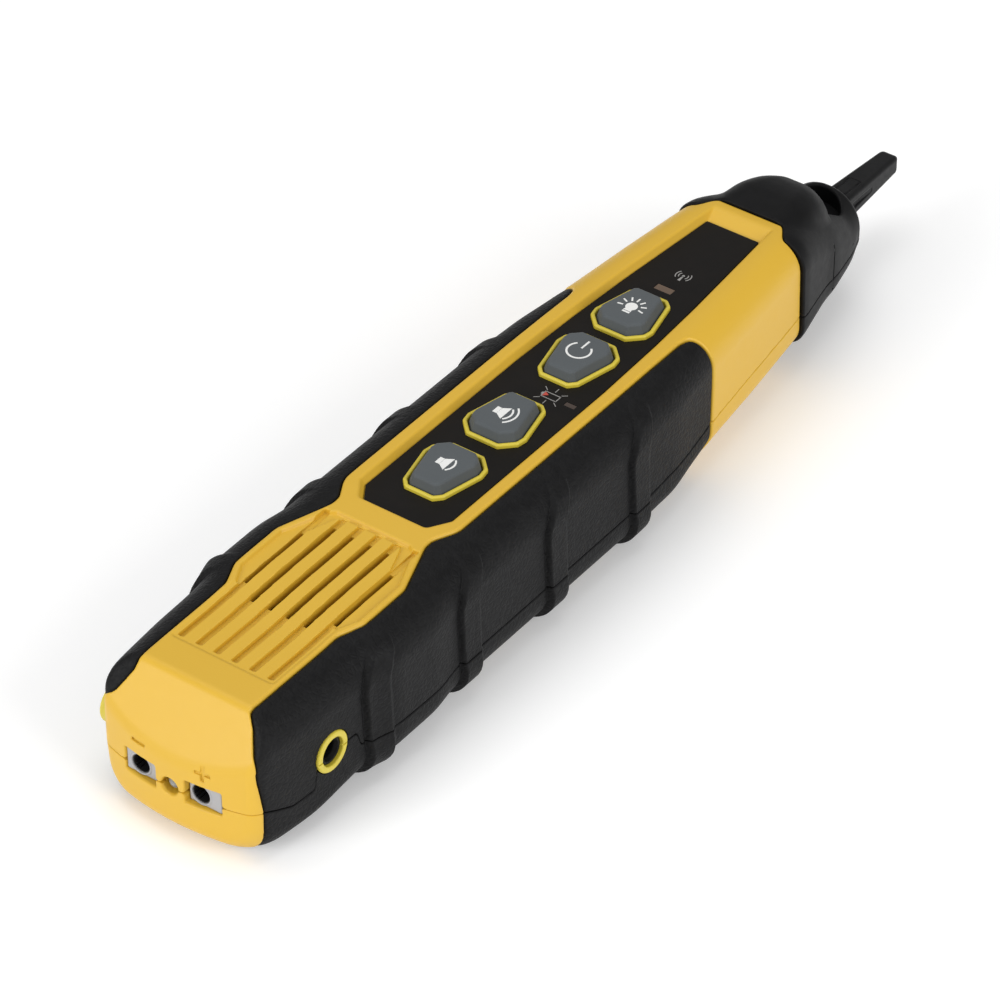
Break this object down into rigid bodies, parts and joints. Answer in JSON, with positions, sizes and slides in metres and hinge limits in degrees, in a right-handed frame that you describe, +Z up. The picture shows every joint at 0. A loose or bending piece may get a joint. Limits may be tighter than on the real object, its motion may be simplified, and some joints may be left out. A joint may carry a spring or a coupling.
{
  "type": "cable tracing probe",
  "caption": "Hand-held cable and tone tracing probe with speaker grille, four rubber keys, lit nose, conductive tip, earphone jack and test lead sockets.",
  "frame": {"origin": "centre of the bounding box on the surface that the tool lies on", "axes": "+X is the tool's width towards the earphone jack, +Y runs along the tool towards the probe tip, +Z points up out of the key face"},
  "size_m": [0.0458, 0.241, 0.0344],
  "materials": {
    "yellow_shell": "satin",
    "yellow_rim": "satin",
    "grip_rubber": "matte",
    "black_nose": "satin",
    "conductive_tip": "satin",
    "label_film": "satin",
    "grey_key": "matte",
    "silicone": "matte",
    "steel": "satin",
    "magnet": "satin",
    "black_plastic": "matte",
    "paper": "matte",
    "cloth": "matte",
    "battery_case": "satin",
    "red_wire": "satin",
    "black_wire": "satin",
    "foam": "matte",
    "green_board": "satin",
    "led_clear": "gloss",
    "smoked_window": "gloss",
    "brass": "satin",
    "grey_socket": "satin"
  },
  "bodies": {
    "body": {"battery_9v": "battery_case", "battery_foam": "foam", "battery_lead_black": "black_wire", "battery_lead_red": "red_wire", "battery_low_led": "led_clear", "battery_low_window": "smoked_window", "battery_snap": "black_plastic", "board_components": "black_plastic", "board_screws": "steel", "button_rims": "yellow_rim", "grille_cloth": "cloth", "grip_left_upper": "grip_rubber", "grip_lower": "grip_rubber", "grip_right_upper": "grip_rubber", "housing_screws": "steel", "jack_body": "black_plastic", "jack_contact": "brass", "jack_ring": "yellow_rim", "keypad_mat": "silicone", "label_panel": "label_film", "lower_housing": "yellow_shell", "main_board": "green_board", "negative_socket": "grey_socket", "nose_lower": "black_nose", "nose_upper": "black_nose", "polarity_led": "led_clear", "positive_socket": "grey_socket", "probe_tip": "conductive_tip", "signal_led": "led_clear", "signal_window": "smoked_window", "socket_board": "green_board", "socket_terminals": "brass", "speaker_cone": "paper", "speaker_frame": "black_plastic", "speaker_magnet": "magnet", "speaker_yoke": "steel", "strap_eyelet": "yellow_rim", "tact_switches": "black_plastic", "tip_contact": "steel", "tip_insert": "brass", "upper_housing": "yellow_shell", "work_light_board": "green_board", "work_light_holder": "black_plastic", "work_light_led": "led_clear"},
    "battery_door": {"battery_door": "yellow_shell", "battery_door_screw": "steel"},
    "volume_down_button": {"volume_down_button": "grey_key"},
    "volume_up_button": {"volume_up_button": "grey_key"},
    "power_button": {"power_button": "grey_key"},
    "light_button": {"light_button": "grey_key"}
  },
  "joints": [
    {"name": "volume_down_press", "type": "slide", "parent": "body", "child": "volume_down_button", "axis": [0, 0, -1], "range_m": [0, 0.0008], "stiffness_N_per_m": 1500, "springref_m": -0.0004},
    {"name": "volume_up_press", "type": "slide", "parent": "body", "child": "volume_up_button", "axis": [0, 0, -1], "range_m": [0, 0.0008], "stiffness_N_per_m": 1500, "springref_m": -0.0004},
    {"name": "power_press", "type": "slide", "parent": "body", "child": "power_button", "axis": [0, 0, -1], "range_m": [0, 0.0008], "stiffness_N_per_m": 1500, "springref_m": -0.0004},
    {"name": "light_press", "type": "slide", "parent": "body", "child": "light_button", "axis": [0, 0, -1], "range_m": [0, 0.0008], "stiffness_N_per_m": 1500, "springref_m": -0.0004},
    {"name": "battery_door_lift", "type": "slide", "parent": "body", "child": "battery_door", "axis": [0, 0, -1], "range_m": [0, 0.012]}
  ]
}
